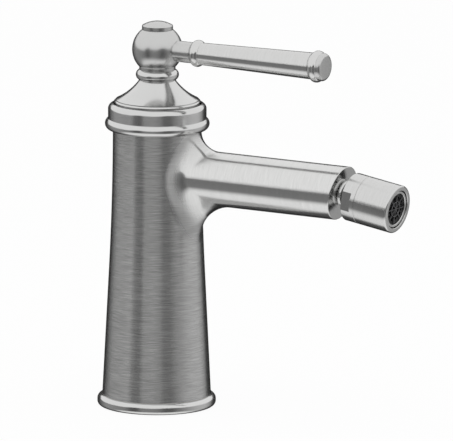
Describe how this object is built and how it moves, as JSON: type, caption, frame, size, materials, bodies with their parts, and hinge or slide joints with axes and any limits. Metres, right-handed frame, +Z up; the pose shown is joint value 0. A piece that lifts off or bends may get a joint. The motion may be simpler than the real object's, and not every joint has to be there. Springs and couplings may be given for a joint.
{
  "type": "bidet mixer",
  "caption": "Deck-mounted bidet mixer in brushed nickel: tapered column, straight spout with a swivelling ball-joint nozzle, and a side lever on a ball that lifts and turns.",
  "frame": {"origin": "centre of the foot on the deck, on the column's axis", "axes": "+Z up along the column, +X along the spout and the lever, +Y to the right of a user who faces the mixer"},
  "size_m": [0.1549, 0.054, 0.1775],
  "materials": {
    "brushed_nickel": "fine brushed nickel over brass",
    "brass": "machined",
    "copper": "drawn copper tube",
    "steel": "bright stainless",
    "rubber": "matt",
    "white_plastic": "moulded",
    "black_plastic": "moulded",
    "ceramic": "lapped ceramic"
  },
  "bodies": {
    "body": {"body_casting": "brushed_nickel", "base_ring": "brushed_nickel", "base_seal": "rubber", "inlet_block": "brass", "retaining_clip": "steel", "hot_tube": "copper", "cold_tube": "copper", "tube_seals": "rubber", "cartridge_base": "white_plastic", "port_seals": "rubber", "cartridge_housing": "white_plastic", "housing_seal": "rubber", "fixed_disc": "ceramic", "cartridge_nut": "brass", "collar": "brushed_nickel", "collar_o_ring": "rubber", "ball_nipple": "brushed_nickel"},
    "mixer": {"spindle_carrier": "black_plastic", "pivot_pin": "steel"},
    "disc": {"moving_disc": "ceramic", "disc_driver": "black_plastic"},
    "lever": {"spindle": "steel", "handle_bell": "brushed_nickel", "neck_bead": "brushed_nickel", "handle_ball": "brushed_nickel", "handle_screw": "steel", "ball_cap": "brushed_nickel", "lever_rod": "brushed_nickel", "grip_collar": "brushed_nickel", "lever_grip": "brushed_nickel", "grip_end_bead": "brushed_nickel", "grip_end_cap": "brushed_nickel"},
    "liner": {"ball_liner": "white_plastic"},
    "nozzle": {"swivel_collar": "brushed_nickel", "aerator_housing": "brushed_nickel", "ball_seal": "rubber", "aerator_washer": "rubber", "aerator_screen": "steel", "aerator_ring": "brushed_nickel", "aerator_insert": "black_plastic"}
  },
  "joints": [
    {"name": "mixing_turn", "type": "hinge", "parent": "body", "child": "mixer", "pos_m": [0, 0, 0.1406], "axis": [0, 0, 1], "range_deg": [-45, 45]},
    {"name": "lever_lift", "type": "hinge", "parent": "mixer", "child": "lever", "pos_m": [0, 0, 0.1406], "axis": [0, -1, 0], "range_deg": [0, 20]},
    {"name": "disc_slide", "type": "slide", "parent": "mixer", "child": "disc", "axis": [1, 0, 0], "range_m": [0, 0.00411]},
    {"name": "nozzle_spin", "type": "hinge", "parent": "body", "child": "liner", "pos_m": [0.10874, 0, 0.10577], "axis": [0.9799, 0, -0.1994], "continuous": true},
    {"name": "nozzle_tilt", "type": "hinge", "parent": "liner", "child": "nozzle", "pos_m": [0.10874, 0, 0.10577], "axis": [0, 1, 0], "range_deg": [-13, 17]}
  ],
  "couplings": [
    {"joint": "disc_slide", "follows": "lever_lift", "m_per_rad": 0.011758}
  ]
}
